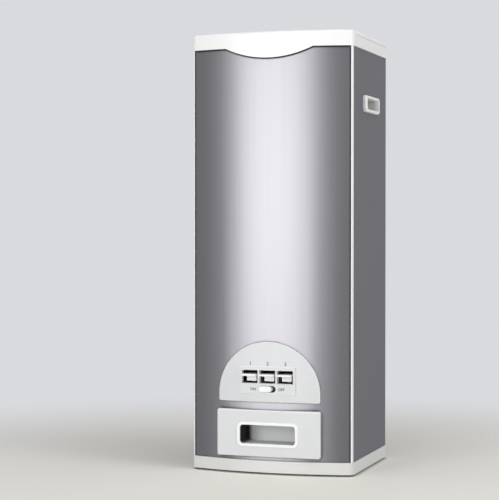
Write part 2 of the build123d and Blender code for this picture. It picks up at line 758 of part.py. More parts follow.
with BuildPart() as control_panel:
    blank_half = panel_half_width + panel_corner
    blank = bowed_strip(-blank_half, blank_half, panel_front_radius, panel_back_radius, base_top)
    extrude(blank, panel_top)
    with BuildSketch(front_plane):
        with BuildLine():
            foot_left, foot_right = (-panel_half_width, panel_bottom), (panel_half_width, panel_bottom)
            spring_left, spring_right = (-panel_half_width, spring_line_z), (panel_half_width, spring_line_z)
            Polyline(spring_left, foot_left, foot_right, spring_right)
            ThreePointArc(spring_right, (0, panel_top), spring_left)
        make_face()
        fillet(vertices().group_by(Axis.Y)[0], panel_corner)
    extrude(amount=-front_bow, mode=Mode.INTERSECT)
    arch_face = control_panel.faces().filter_by(GeomType.CYLINDER).sort_by(Axis.Y)[0]
    fillet(arch_face.edges(), panel_bevel)
    block(-inset_half_width, inset_half_width, inset_front_y, inset_back_y, inset_bottom, inset_top)
    fillet(control_panel.faces().sort_by(Axis.Y)[0].edges(), inset_proud / 4)
    for centre in key_centres:
        x0, x1 = centre - window_width / 2, centre + window_width / 2
        block(x0, x1, inset_front_y, inset_back_y, window_bottom, window_top, Mode.SUBTRACT)
    with BuildSketch(front_plane):
        with Locations((0, slot_middle_z)):
            SlotOverall(slot_width, slot_height)
    extrude(amount=-inset_back, mode=Mode.SUBTRACT)
    for x, z in boss_places:
        rod_y(boss_radius, boss_start(x), boss_end(x), x, z)
        rod_y(screw_radius + screw_fit, boss_start(x), boss_end(x), x, z, Mode.SUBTRACT)
save(control_panel, "control_panel")

with BuildPart() as fascia_screws:
    for x, z in boss_places:
        washer_end = boss_end(x) + clip_thickness
        rod_y(boss_radius + screw_radius, boss_end(x), washer_end, x, z)
        rod_y(screw_head_radius, washer_end, washer_end + screw_head_height, x, z)
        rod_y(screw_radius, boss_start(x) + screw_fit, boss_end(x), x, z)
save(fascia_screws, "fascia_screws")

# Keys and measuring rotors: each key tips its rotor on the shaft
tab_front_y = inset_front_y - key_tab_proud
tab_bottom = key_tab_top - key_tab_thickness
tongue_front_y = stem_rear_y - tongue_length
rotor_width = bay_width - 2 * rotor_side_gap
rotor_radius = bay_radius - rotor_tip_gap
shutter_inner = rotor_radius - shutter
inlet_shutter = (duct_low_angle - key_travel_angle - shutter_lap, duct_high_angle - key_travel_angle)
outlet_shutter = (-duct_high_angle - shutter_lap, -duct_low_angle + shutter_lap)
rotor_span = (outlet_shutter[0] - shutter_lap, inlet_shutter[1] + shutter_lap)
for number, (centre, core_radius) in enumerate(zip(key_centres, measure_core_radii), 1):
    stem_half, tab_half, tongue_half = key_stem_width / 2, key_tab_width / 2, tongue_width / 2
    tongue_low, tongue_high = shaft_z - tongue_height / 2, shaft_z + tongue_height / 2
    with BuildPart() as key:
        tab_left, tab_right = centre - tab_half, centre + tab_half
        block(tab_left, tab_right, tab_front_y, stem_front_y + sheet, tab_bottom, key_tab_top)
        fillet(key.faces().sort_by(Axis.Y)[0].edges(), key_tab_thickness / 4)
        block(centre - stem_half, centre + stem_half, stem_front_y, stem_rear_y, key_stem_bottom, key_tab_top)
        socket_half = tongue_half + tongue_fit
        block(
            centre - socket_half, centre + socket_half, tongue_front_y - tongue_fit, stem_rear_y,
            tongue_low - tongue_fit, tongue_high + tongue_fit, Mode.SUBTRACT,
        )
    save(key, f"key_{number}")

    x0, x1 = centre - rotor_width / 2, centre + rotor_width / 2
    with BuildPart() as rotor:
        rod_x(rotor_hub_radius, x0, x1, shaft_y, shaft_z)
        extrude(sector(shaft_plane(x0), shaft_radius, core_radius, *rotor_span), rotor_width)
        for plate_x in (x0, x1 - rotor_plate):
            extrude(sector(shaft_plane(plate_x), shaft_radius, rotor_radius, *rotor_span), rotor_plate)
        for span in (inlet_shutter, outlet_shutter):
            extrude(sector(shaft_plane(x0), shutter_inner, rotor_radius, *span), rotor_width)
        block(centre - tongue_half, centre + tongue_half, tongue_front_y, shaft_y, tongue_low, tongue_high)
        rod_x(shaft_radius + running_fit, x0, x1, shaft_y, shaft_z, Mode.SUBTRACT)
    save(rotor, f"measuring_rotor_{number}")

# Lock slider: the knob in the slot moves a bar whose fingers stop the key stems
lock_travel = slot_width - knob_length - 2 * knob_slot_gap
knob_middle_x = -lock_travel / 2
bar_front_y = inset_back_y + lock_bar_gap
bar_rear_y = bar_front_y + lock_bar_thickness
bar_bottom = slot_middle_z - lock_bar_height / 2
bar_top = slot_middle_z + lock_bar_height / 2
finger_right = -key_stem_width / 2 - lock_finger_gap
finger_left = finger_right - lock_finger_width
finger_top = key_stem_bottom - lock_finger_top_gap
with BuildPart() as lock_knob:
    with BuildSketch(front_plane.offset(knob_proud)):
        with Locations((knob_middle_x, slot_middle_z)):
            SlotOverall(knob_length, slot_height - 2 * knob_slot_gap)
    extrude(amount=inset_front_y - knob_proud - bar_front_y)
    fillet(lock_knob.faces().sort_by(Axis.Y)[0].edges(), knob_proud / 3)
save(lock_knob, "lock_knob")

with BuildPart() as lock_bar:
    bar_left, bar_right = key_centres[0] + finger_left, key_centres[-1] + finger_right
    block(bar_left, bar_right, bar_front_y, bar_rear_y, bar_bottom, bar_top)
    for centre in key_centres:
        block(centre + finger_left, centre + finger_right, bar_front_y, bar_rear_y, bar_bottom, finger_top)
save(lock_bar, "lock_bar")

# Drawer tunnel: an inverted channel on the base, with a hole under the outlets
tray_front_y = apex_y - drawer_proud + pocket_depth + pocket_wall
tray_rear_y = back_y - tray_rear_gap
flange_half = tunnel_half + tunnel_flange
tunnel_front_y = bow_y(bow_radius - sheet, flange_half) + slide_gap
tunnel_rear_y = tray_rear_y + opening_gap
flange_top = base_top + tunnel_wall
with BuildPart() as drawer_tunnel:
    block(-tunnel_half, tunnel_half, tunnel_front_y, tunnel_rear_y, base_top, housing_bottom)
    block(-flange_half, flange_half, tunnel_front_y, tunnel_rear_y, base_top, flange_top)
    block(-tunnel_inner, tunnel_inner, tunnel_front_y, tunnel_rear_y, base_top, roof_bottom, Mode.SUBTRACT)
    block(-bays_half, bays_half, duct_front_y, duct_rear_y, roof_bottom, housing_bottom, Mode.SUBTRACT)
    for x, y in base_screw_places:
        rod_z(screw_radius + screw_fit, base_top, flange_top, x, y, Mode.SUBTRACT)
    for x, y in housing_screw_places:
        rod_z(screw_radius + screw_fit, roof_bottom, housing_bottom, x, y, Mode.SUBTRACT)
save(drawer_tunnel, "drawer_tunnel")

with BuildPart() as base_screws:
    for x, y in base_screw_places:
        rod_z(screw_head_radius, deck_bottom - screw_head_height, deck_bottom, x, y)
        rod_z(screw_radius, deck_bottom, deck_bottom + screw_length, x, y)
save(base_screws, "base_screws")

with BuildPart() as housing_screws:
    for x, y in housing_screw_places:
        seat_z = housing_bottom + bay_wall
        rod_z(screw_head_radius, seat_z, seat_z + screw_head_height, x, y)
        rod_z(screw_radius, roof_bottom, seat_z, x, y)
save(housing_screws, "housing_screws")

# Drawer runners on the base, inside the tunnel
lip_inner = tray_half_width + runner_side_gap
for side, sign in sides:
    with BuildPart() as runner:
        runner_top = base_top + runner_height
        runner_inner = sign * (lip_inner - runner_width)
        y0, y1 = tunnel_front_y + tunnel_wall, tunnel_rear_y - tunnel_wall
        block(runner_inner, sign * tunnel_inner, y0, y1, base_top, runner_top)
        block(sign * lip_inner, sign * tunnel_inner, y0, y1, base_top, runner_top + runner_lip)
    save(runner, f"drawer_runner_{side}")

# Drawer front: a nearly flat proud face with a rimmed hole, and bosses that reach the tray
drawer_apex_y = apex_y - drawer_proud
drawer_edge_y = drawer_apex_y + drawer_sagitta
drawer_back_radius = bow_radius + drawer_back_gap
drawer_plane = Plane.XZ.offset(-drawer_apex_y)
cup_plane = drawer_plane.offset(-drawer_sagitta)
pocket_width = 2 * pocket_half_width
pocket_middle_z = (pocket_bottom + pocket_top) / 2
drawer_boss_x = (pocket_half_width + tray_half_width) / 2
drawer_boss_heights = (pocket_bottom, pocket_top - boss_radius)
drawer_boss_places = [(sign * drawer_boss_x, z) for side, sign in sides for z in drawer_boss_heights]


def pocket_outline(plane, margin):
    """Front view of the grip pocket, wider by a margin all round."""
    with BuildSketch(plane) as view:
        with Locations((0, pocket_middle_z)):
            width, height = pocket_width + 2 * margin, pocket_height + 2 * margin
            RectangleRounded(width, height, pocket_rounding + margin)
    return view.sketch


with BuildPart() as drawer_front:
    with BuildSketch(Plane.XY.offset(drawer_bottom)):
        with BuildLine():
            front_left, front_right = (-drawer_half_width, drawer_edge_y), (drawer_half_width, drawer_edge_y)
            back_edge_y = bow_y(drawer_back_radius, drawer_half_width)
            back_left, back_right = (-drawer_half_width, back_edge_y), (drawer_half_width, back_edge_y)
            ThreePointArc(front_left, (0, drawer_apex_y), front_right)
            Line(front_right, back_right)
            ThreePointArc(back_right, (0, bow_y(drawer_back_radius, 0)), back_left)
            Line(back_left, front_left)
        make_face()
    extrude(amount=drawer_top - drawer_bottom)
    face_corners = drawer_front.edges().filter_by(Axis.Y, tolerance=1).filter_by(GeomType.LINE)
    fillet(face_corners, drawer_rounding)
    fillet(drawer_front.faces().filter_by(GeomType.CYLINDER).sort_by(Axis.Y)[0].edges(), drawer_rounding)
    rim_outline = pocket_outline(drawer_plane.offset(pocket_rim_proud), pocket_rim)
    extrude(rim_outline, -pocket_rim_proud - drawer_sagitta)
    fillet(drawer_front.faces().sort_by(Axis.Y)[0].edges(), pocket_rim_proud * 0.8)
    extrude(pocket_outline(drawer_plane.offset(pocket_rim_proud), 0), -pocket_depth, mode=Mode.SUBTRACT)
    extrude(pocket_outline(cup_plane, pocket_wall + cup_fit), -pocket_depth, mode=Mode.SUBTRACT)
    for x, z in drawer_boss_places:
        rod_y(boss_radius, drawer_edge_y + drawer_rounding, tray_front_y, x, z)
        rod_y(screw_radius + screw_fit, tray_front_y - screw_length, tray_front_y, x, z, Mode.SUBTRACT)
save(drawer_front, "drawer_front")

# Grip cup: slipped into the drawer front from behind and kept there by the tray
cup_length = pocket_depth - drawer_sagitta
with BuildPart() as drawer_cup:
    extrude(pocket_outline(cup_plane, pocket_wall), -cup_length - pocket_wall)
    extrude(pocket_outline(cup_plane, 0), -cup_length, mode=Mode.SUBTRACT)
save(drawer_cup, "drawer_cup")

# Drawer tray, open on top, screwed to the bosses of the drawer front
with BuildPart() as drawer_tray:
    block(-tray_half_width, tray_half_width, tray_front_y, tray_rear_y, tray_bottom, tray_top)
    tray_inner = tray_half_width - tray_wall
    inner_front_y, inner_rear_y = tray_front_y + tray_wall, tray_rear_y - tray_wall
    tray_floor = tray_bottom + tray_wall
    block(-tray_inner, tray_inner, inner_front_y, inner_rear_y, tray_floor, tray_top, Mode.SUBTRACT)
    for x, z in drawer_boss_places:
        rod_y(screw_radius + screw_fit, tray_front_y, inner_front_y, x, z, Mode.SUBTRACT)
save(drawer_tray, "drawer_tray")

with BuildPart() as drawer_screws:
    for x, z in drawer_boss_places:
        rod_y(screw_head_radius, inner_front_y, inner_front_y + screw_head_height, x, z)
        rod_y(screw_radius, inner_front_y - screw_length, inner_front_y, x, z)
save(drawer_screws, "drawer_screws")
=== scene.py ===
"""Looks of a metering rice dispenser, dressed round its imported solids, laid out as an add-on."""

import json
from math import pi, radians

import bmesh
import bpy
from mathutils import Matrix, Vector


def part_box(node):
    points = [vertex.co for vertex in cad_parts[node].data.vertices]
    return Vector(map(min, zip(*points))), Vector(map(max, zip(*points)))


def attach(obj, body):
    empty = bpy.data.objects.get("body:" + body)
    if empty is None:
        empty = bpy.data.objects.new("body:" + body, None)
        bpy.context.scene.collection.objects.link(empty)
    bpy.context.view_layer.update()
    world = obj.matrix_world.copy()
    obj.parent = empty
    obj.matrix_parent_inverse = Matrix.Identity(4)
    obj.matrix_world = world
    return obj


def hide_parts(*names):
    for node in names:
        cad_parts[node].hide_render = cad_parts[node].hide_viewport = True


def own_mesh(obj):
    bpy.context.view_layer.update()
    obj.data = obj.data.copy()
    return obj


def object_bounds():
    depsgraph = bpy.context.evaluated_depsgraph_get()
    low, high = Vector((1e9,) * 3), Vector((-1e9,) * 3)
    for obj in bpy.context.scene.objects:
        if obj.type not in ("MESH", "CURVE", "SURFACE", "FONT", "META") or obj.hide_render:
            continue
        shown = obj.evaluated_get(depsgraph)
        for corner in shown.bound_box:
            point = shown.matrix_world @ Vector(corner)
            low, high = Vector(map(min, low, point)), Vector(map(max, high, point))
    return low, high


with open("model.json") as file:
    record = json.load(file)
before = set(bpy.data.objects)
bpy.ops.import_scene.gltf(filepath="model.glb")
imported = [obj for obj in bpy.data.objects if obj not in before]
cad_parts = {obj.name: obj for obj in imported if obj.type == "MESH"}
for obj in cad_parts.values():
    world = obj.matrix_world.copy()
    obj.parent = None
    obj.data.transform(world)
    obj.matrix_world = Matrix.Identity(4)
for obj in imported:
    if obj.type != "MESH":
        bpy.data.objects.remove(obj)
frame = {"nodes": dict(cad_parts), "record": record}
cad_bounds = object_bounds()

bl_info = {
    "name": "Rice Dispenser Looks",
    "version": (1, 0, 0),
    "blender": (4, 5, 0),
    "location": "3D View > Sidebar > Dispenser",
    "description": "Finishes, printed marks, fasteners and studio stage of a metering rice dispenser",
    "category": "Object",
}

nodes = frame["nodes"]
MM = 0.001

# Printed marks, and the parts of the control panel that they stand beside
CAPITAL_SHARE = 0.729
MARK_START = 10 * MM
MARK_RISE = 0.25
RAISED_BLOCK_TOP = 57 * MM
SLOT_WIDTH = 28 * MM

# Where noise mostly lies, ranges of roughness, and depths of the fine skin of the mouldings
NOISE_RANGE = (0.3, 0.7)
BASE_GLOSS = (0.28, 0.31)
WHITE_GLOSS = (0.29, 0.32)
GRIP_GLOSS = (0.3, 0.34)
PANEL_SATIN = (0.34, 0.38)
BRUSHED_SATIN = (0.36, 0.4)
NATURAL_SATIN = (0.38, 0.5)
BLACK_MATT = (0.48, 0.62)
CUP_MATT = (0.54, 0.62)
SMOOTH_SKIN = 0.02 * MM
PANEL_SKIN = 0.03 * MM
NATURAL_SKIN = 0.04 * MM
BLACK_SKIN = 0.06 * MM

# Painted shade near other pieces, on the floor, along the front sheet's side edges and in hollows
SHADE_SAMPLES = 8
SHEET_REACH = 9 * MM
SHEET_RANGE = (0.5, 0.88)
FLOOR_REACH = 14 * MM
FLOOR_RANGE = (0.42, 0.72)
FLOOR_DARKEST = 0.03
EDGE_SHADE = 4 * MM
EDGE_DARKEST = 0.15
# Painted highlights on edges that turn from the front and on the drawer's raised rim
EDGE_TURN = (-0.95, -0.8)
NO_RIM_Y = -1.0
RIM_STEP = 0.2 * MM
RIM_PROUD = 1.2 * MM
# Painted shade in the drawer's cup and in the pockets of the hand grips
CUP_SHADE = 9 * MM
CUP_WALL = 1.6 * MM
CUP_DARKEST = 0.02
GRIP_RIM = 3 * MM
GRIP_SHADE = 9 * MM
GRIP_DARKEST = 0.75

# Screws and springs
SCREW_HEAD_RADIUS = 3 * MM
SCREW_SEGMENTS = 32
SCREW_TURN = radians(37.0)
RECESS_TAPER = 0.72
FACING_UP = 0.999
CUT_NEARNESS = 1e-7
BACK_ROWS = (0.0, 1 / 3, 2 / 3, 1.0)
SPRING_WIRE_RADIUS = 0.4 * MM
WIRE_SEGMENTS = 12
SPRING_TURNS = 6
SPRING_STEPS = 28

# Camera, lamps and floor: places and sizes in metres, lens and sensor in millimetres
CAMERA_PLACE = (0.7772, -2.5069, 0.4004)
CAMERA_AIM = (-0.32021, 0.94719, -0.01730)
CAMERA_LENS = 114.2
CAMERA_SENSOR = 36.0
KEY_PLACE = (-0.65, -2.50, 0.64)
KEY_WIDTH = 1.56
KEY_HEIGHT = 1.24
SHEEN_DEPTH = 0.05
SHEEN_MIDDLE = 0.25
SHEEN_HEIGHT = 2.2
FILL_PLACE = (2.20, -0.70, 1.45)
FILL_SIZE = 1.20
TOP_PLACE = (0.2, -0.6, 2.6)
TOP_SIZE = 1.6
FLOOR_SEGMENTS = 128
SEEN_RAYS = ("Is Camera Ray", "Is Glossy Ray", "Is Transmission Ray")


class Socket:
    """A value in a node tree: arithmetic on it adds Math nodes to that tree."""

    def __init__(self, shading, output):
        self.shading = shading
        self.output = output

    def maths(self, operation, first, second):
        """A Math node between two values, either of which may be a plain number."""
        return self.shading.node("ShaderNodeMath", "Value", {"operation": operation}, {0: first, 1: second})

    def __add__(self, other):
        return self.maths("ADD", self, other)

    def __radd__(self, other):
        return self.maths("ADD", other, self)

    def __sub__(self, other):
        return self.maths("SUBTRACT", self, other)

    def __rsub__(self, other):
        return self.maths("SUBTRACT", other, self)

    def __mul__(self, other):
        return self.maths("MULTIPLY", self, other)

    def __rmul__(self, other):
        return self.maths("MULTIPLY", other, self)

    def size(self):
        """The value without its sign."""
        return self.maths("ABSOLUTE", self, 0.0)

    def larger(self, other):
        """The larger of two values."""
        return self.maths("MAXIMUM", self, other)


class Shading:
    """The nodes of one tree. They come from node(), and what varies is held in Sockets."""

    def __init__(self, tree):
        self.tree = tree

    def node(self, kind, output, settings=None, values=None):
        """Add a node: its settings first, then the values or links of its sockets."""
        made = self.tree.nodes.new(kind)
        for name, value in (settings or {}).items():
            setattr(made, name, value)
        for name, value in (values or {}).items():
            self.feed(made.inputs[name], value)
        return Socket(self, made.outputs[output])

    def feed(self, socket, value):
        """Link a Socket to an input, or set a plain value on it."""
        if isinstance(value, Socket):
            self.tree.links.new(value.output, socket)
        else:
            socket.default_value = value

    def blend(self, factor, first, second):
        """Mix two colours by a factor."""
        return self.node(
            "ShaderNodeMix", 2, {"data_type": "RGBA"},
            {0: factor, 6: first if isinstance(first, Socket) else (*first, 1.0),
             7: second if isinstance(second, Socket) else (*second, 1.0)},
        )

    def seen(self):
        """1 for rays that see a surface, straight or by gloss or glass, and 0 for other rays."""
        camera, glossy, transmission = (self.node("ShaderNodeLightPath", kind) for kind in SEEN_RAYS)
        return camera + glossy + transmission


class Finish(Shading):
    """One material on the principled shader."""

    def __init__(self, name):
        self.material = bpy.data.materials.new(name)
        self.material.use_nodes = True
        super().__init__(self.material.node_tree)
        self.shader = self.tree.nodes["Principled BSDF"]

    def noise(self, scale, detail, roughness=0.5, stretch=(1.0, 1.0, 1.0)):
        """Soft noise from 0 to 1, in cycles per metre."""
        spot = self.node("ShaderNodeTexCoord", "Object")
        place = self.node("ShaderNodeMapping", "Vector", None, {"Vector": spot, "Scale": stretch})
        return self.node(
            "ShaderNodeTexNoise", "Fac", None,
            {"Vector": place, "Scale": scale, "Detail": detail, "Roughness": roughness},
        )

    def between(self, factor, low=0.0, high=1.0):
        """Map noise to a range of values."""
        start, end = NOISE_RANGE
        return self.node(
            "ShaderNodeMapRange", "Result", {"clamp": True},
            {"Value": factor, "From Min": start, "From Max": end, "To Min": low, "To Max": high},
        )

    def bump(self, height, distance, strength):
        """Bump from a height of 0 to 1 that stands for a distance in metres."""
        values = {"Height": height, "Distance": distance, "Strength": strength}
        return self.node("ShaderNodeBump", "Normal", None, values)

    def axis(self, kind, output, name):
        """One axis of a vector that a node gives: a place on the object, or the way its surface faces."""
        return self.node("ShaderNodeSeparateXYZ", name, None, {0: self.node(kind, output)})

    def step(self, value, start, end):
        """A smooth step from 0 to 1 as a value goes from a start to an end."""
        return self.node(
            "ShaderNodeMapRange", "Result", {"interpolation_type": "SMOOTHSTEP"},
            {"Value": value, "From Min": start, "From Max": end},
        )

    def openness(self, reach, start, end):
        """0 in corners to 1 in the open, from how much other surface lies within reach."""
        settings = {"samples": SHADE_SAMPLES}
        share = self.node("ShaderNodeAmbientOcclusion", "AO", settings, {"Distance": reach})
        return self.step(share, start, end)

    def set(self, **inputs):
        """Set the shader's own inputs, by their names with underscores for spaces."""
        for name, value in inputs.items():
            self.feed(self.shader.inputs[name.replace("_", " ")], value)
        return self.material


def linear(red, green, blue):
    """A colour as shaders use it, from screen values of 0 to 255."""
    return tuple((value / 255) ** 2.2 for value in (red, green, blue))


def shade(colour, amount):
    """The same colour, lighter or darker."""
    return tuple(value * amount for value in colour)


def dress(names, material):
    """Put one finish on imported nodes."""
    for name in names:
        for slot in nodes[name].material_slots:
            slot.material = material


def moulded_plastic(name, colour, roughness, skin_depth, edge=None, rim_highlight_y=NO_RIM_Y):
    """Moulded plastic: a faint flow of tone, an uneven gloss and a fine skin.

    Where an edge colour is given, it is painted on as a highlight where the surface turns from the front, and
    on the raised rim.
    """
    finish = Finish(name)
    flow = finish.noise(scale=11.0, detail=2.0)
    gloss = finish.noise(scale=60.0, detail=2.0)
    skin = finish.noise(scale=420.0, detail=1.0)
    body = finish.blend(finish.between(flow), shade(colour, 0.98), colour)
    if edge is not None:
        # Painted highlight: the lighter edge colour on faces that turn from the front and on the raised rim.
        turned_edge_highlight = finish.step(finish.axis("ShaderNodeNewGeometry", "Normal", "Y"), *EDGE_TURN)
        spot_y = finish.axis("ShaderNodeTexCoord", "Object", "Y")
        raised_rim_highlight = 1.0 - finish.step(spot_y, rim_highlight_y, rim_highlight_y + RIM_STEP)
        body = finish.blend(turned_edge_highlight.larger(raised_rim_highlight), body, edge)
    return finish.set(
        Base_Color=body,
        Roughness=finish.between(gloss, *roughness),
        Specular_IOR_Level=0.3,
        Normal=finish.bump(skin, skin_depth, strength=0.02),
    )


def brushed_sheet(name, colour, roughness, half_width):
    """Metal sheet with fine upright hairlines and a slow change of tone, and painted shade near what stands
    on it and along its side edges.
    """
    finish = Finish(name)
    # Painted shade: the sheet darkens where other pieces stand close to it, and in a strip along its side
    # edges beside the trims.
    out_of_painted_shade = finish.openness(SHEET_REACH, *SHEET_RANGE)
    across = finish.axis("ShaderNodeTexCoord", "Object", "X").size()
    beyond_painted_edge_shade = finish.step(half_width - across, 0.0, EDGE_SHADE)
    hairlines = finish.noise(scale=1.0, detail=4.0, roughness=0.65, stretch=(4200.0, 4200.0, 26.0))
    streaks = finish.noise(scale=1.0, detail=2.0, stretch=(320.0, 320.0, 3.0))
    tone = finish.between(hairlines * 0.6 + streaks * 0.4)
    sheet = finish.blend(tone, shade(colour, 0.95), shade(colour, 1.04))
    return finish.set(
        Base_Color=finish.blend(out_of_painted_shade * beyond_painted_edge_shade, shade(colour, EDGE_DARKEST), sheet),
        Metallic=1.0,
        Anisotropic=0.6,
        Anisotropic_Rotation=0.25,
        Roughness=finish.between(hairlines, *roughness),
        Normal=finish.bump(hairlines, 0.006 * MM, strength=0.35),
    )


def painted_sheet(name, colour):
    """Satin metallic paint: tiny flakes, and the soft orange peel of a sprayed coat."""
    finish = Finish(name)
    flakes = finish.noise(scale=5200.0, detail=1.0)
    peel = finish.noise(scale=420.0, detail=2.0)
    cloud = finish.noise(scale=7.0, detail=2.0)
    tone = finish.between(flakes * 0.7 + cloud * 0.3)
    return finish.set(
        Base_Color=finish.blend(tone, shade(colour, 0.92), shade(colour, 1.06)),
        Metallic=0.2,
        Specular_IOR_Level=0.3,
        Roughness=finish.between(peel, 0.5, 0.58),
        Normal=finish.bump(peel, 0.01 * MM, strength=0.3),
    )


def shaded_hollow(name, colour, clear_x, dark_x, darkest, roughness):
    """Moulding of a hollow with painted shade, which darkens it from one distance from the middle plane to
    another.
    """
    finish = Finish(name)
    skin = finish.noise(scale=420.0, detail=1.0)
    gloss = finish.noise(scale=90.0, detail=2.0)
    across = finish.axis("ShaderNodeTexCoord", "Object", "X").size()
    painted_shade = finish.step(across, clear_x, dark_x)
    return finish.set(
        Base_Color=finish.blend(painted_shade, colour, shade(colour, darkest)),
        Roughness=finish.between(gloss, *roughness),
        Specular_IOR_Level=0.2,
        Normal=finish.bump(skin, SMOOTH_SKIN, strength=0.05),
    )


def plated_steel(name, colour):
    """Zinc-plated steel with a cloudy, slightly uneven sheen."""
    finish = Finish(name)
    cloud = finish.noise(scale=380.0, detail=4.0)
    scuff = finish.noise(scale=2100.0, detail=3.0)
    return finish.set(
        Base_Color=finish.blend(finish.between(cloud), shade(colour, 0.85), colour),
        Metallic=1.0,
        Roughness=finish.between(scuff, 0.3, 0.44),
        Normal=finish.bump(scuff, 0.008 * MM, strength=0.4),
    )


def foot_rubber(name, colour):
    """Matt rubber, dusted a little paler in places."""
    finish = Finish(name)
    dust = finish.noise(scale=160.0, detail=4.0)
    pores = finish.noise(scale=1900.0, detail=2.0)
    return finish.set(
        Base_Color=finish.blend(finish.between(dust), colour, shade(colour, 1.8)),
        Roughness=finish.between(pores, 0.7, 0.88),
        Normal=finish.bump(pores, 0.04 * MM, strength=0.4),
    )


def printed_ink(name, colour):
    """Pad-printed ink, a little thin in places."""
    finish = Finish(name)
    wear = finish.noise(scale=900.0, detail=3.0)
    return finish.set(
        Base_Color=finish.blend(finish.between(wear), shade(colour, 0.85), shade(colour, 1.2)),
        Roughness=finish.between(wear, 0.45, 0.6),
    )


def colour_setting(name, description, colour):
    """A colour that a user can change."""
    return bpy.props.FloatVectorProperty(
        name=name, description=description, default=colour, size=3, min=0.0, max=1.0, subtype="COLOR"
    )


def length_setting(name, description, millimetres):
    """A length that a user can change, given here in millimetres."""
    return bpy.props.FloatProperty(
        name=name, description=description, default=millimetres * MM, unit="LENGTH"
    )


def power_setting(name, description, watts):
    """A lamp's power that a user can change."""
    return bpy.props.FloatProperty(name=name, description=description, default=watts, min=0.0, unit="POWER")


class FinishSettings(bpy.types.PropertyGroup):
    """Colours of the dispenser's finishes."""

    white: colour_setting("White", "Colour of the glossy white mouldings", linear(245, 245, 246))
    # Painted shade: the plinth's colour is a darker copy of the white, for the weaker light on its lower
    # faces.
    base: colour_setting("Base White", "Colour of the plinth", linear(220, 220, 219))
    # Painted shade: the panel colour is a darker copy of the white for the faces of the control panel and
    # drawer, whose turned edges keep the white.
    panel: colour_setting("Panel White", "Colour of the control panel and drawer", linear(216, 218, 221))
    front: colour_setting("Front Sheet", "Colour of the brushed front sheet", linear(112, 111, 114))
    side: colour_setting("Side Sheets", "Colour of the painted side and back sheets", linear(106, 106, 111))
    # Painted shade: the cup's grey is a darker copy of the white, for the inside of the drawer's pocket.
    grey: colour_setting("Grey", "Colour of the cup in the drawer front", linear(216, 217, 219))
    black: colour_setting("Black", "Colour of the matt black mouldings", linear(26, 26, 28))
    natural: colour_setting("Natural", "Colour of the bin, funnel and tray", linear(226, 226, 221))
    steel: colour_setting("Steel", "Colour of the plated steel", linear(196, 196, 192))
    rubber: colour_setting("Rubber", "Colour of the feet and the seal", linear(24, 24, 24))
    ink: colour_setting("Ink", "Colour of the printed marks", linear(40, 42, 48))


class DetailSettings(bpy.types.PropertyGroup):
    """Sizes of the printed marks and the screw heads."""

    number_height: length_setting("Number Height", "Height of the numbers over the keys", 5.5)
    word_height: length_setting("Word Height", "Height of the words beside the slider", 4.4)
    mark_thickness: length_setting("Mark Thickness", "Thickness of the printed ink", 0.06)
    mark_stroke: length_setting("Mark Stroke", "How much the strokes of the marks are thickened", 0.15)
    number_gap: length_setting("Number Gap", "Gap between the raised block and the numbers", 2.0)
    word_gap: length_setting("Word Gap", "Gap between the slider and the words", 9.5)
    head_bevel: length_setting("Head Bevel", "Bevel of a screw head's rim", 0.7)
    recess_width: length_setting("Recess Width", "Width of an arm of a screw's cross", 0.8)
    recess_reach: length_setting("Recess Reach", "Length of an arm of a screw's cross", 1.7)
    recess_depth: length_setting("Recess Depth", "Depth of a screw's cross", 0.9)


class StageSettings(bpy.types.PropertyGroup):
    """Floor, surroundings and lamps."""

    floor: colour_setting("Floor", "Colour of the floor near the dispenser", linear(249, 247, 239))
    surround: colour_setting("Surround", "Colour of the background", linear(216, 217, 221))
    ambient: bpy.props.FloatProperty(
        name="Ambient", description="Strength of the light from all round", default=0.29, min=0.0
    )
    key_power: power_setting("Key Power", "Power of the tall softbox at the front left", 26.0)
    sheen_power: power_setting("Sheen Power", "Power of the reflector that only shows in gloss", 45.0)
    fill_power: power_setting("Fill Power", "Power of the softbox on the right", 20.5)
    top_power: power_setting("Top Power", "Power of the softbox overhead", 16.0)
    floor_radius: length_setting("Floor Radius", "Radius of the floor", 4000.0)
    fade_start: length_setting("Fade Start", "Radius at which the floor starts to fade away", 320.0)
    fade_end: length_setting("Fade End", "Radius at which the floor has become the background", 1100.0)


def middle(node):
    """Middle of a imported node's box."""
    low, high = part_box(node)
    return (low + high) / 2


def new_piece(name, mesh, body, material):
    """Put a finished bmesh in the scene as a piece that rides on a body."""
    data = bpy.data.meshes.new(name)
    mesh.to_mesh(data)
    mesh.free()
    piece = bpy.data.objects.new(name, data)
    bpy.context.scene.collection.objects.link(piece)
    data.materials.append(material)
    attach(piece, body)
    return piece


def text_mesh(text, height, thickness, stroke):
    """A word or a number as a bmesh that stands upright and faces the front, centred on the origin."""
    curve = bpy.data.curves.new(text, "FONT")
    curve.body = text
    curve.size = height / CAPITAL_SHARE
    curve.extrude = thickness / 2
    curve.offset = stroke
    curve.align_x = "CENTER"
    carrier = bpy.data.objects.new(text, curve)
    bpy.context.scene.collection.objects.link(carrier)
    bpy.context.view_layer.update()
    data = bpy.data.meshes.new_from_object(carrier.evaluated_get(bpy.context.evaluated_depsgraph_get()))
    mesh = bmesh.new()
    mesh.from_mesh(data)
    bpy.data.objects.remove(carrier)
    bpy.data.curves.remove(curve)
    bpy.data.meshes.remove(data)
    bmesh.ops.remove_doubles(mesh, verts=mesh.verts, dist=thickness / 10)
    bmesh.ops.recalc_face_normals(mesh, faces=mesh.faces)
    bmesh.ops.translate(mesh, vec=(0.0, -height / 2, 0.0), verts=mesh.verts)
    bmesh.ops.rotate(mesh, cent=(0.0, 0.0, 0.0), matrix=Matrix.Rotation(pi / 2, 3, "X"), verts=mesh.verts)
    return mesh


def join(parts):
    """Several bmeshes as one."""
    whole = bmesh.new()
    carrier = bpy.data.meshes.new("joined")
    for part in parts:
        part.to_mesh(carrier)
        part.free()
        whole.from_mesh(carrier)
    bpy.data.meshes.remove(carrier)
    return whole


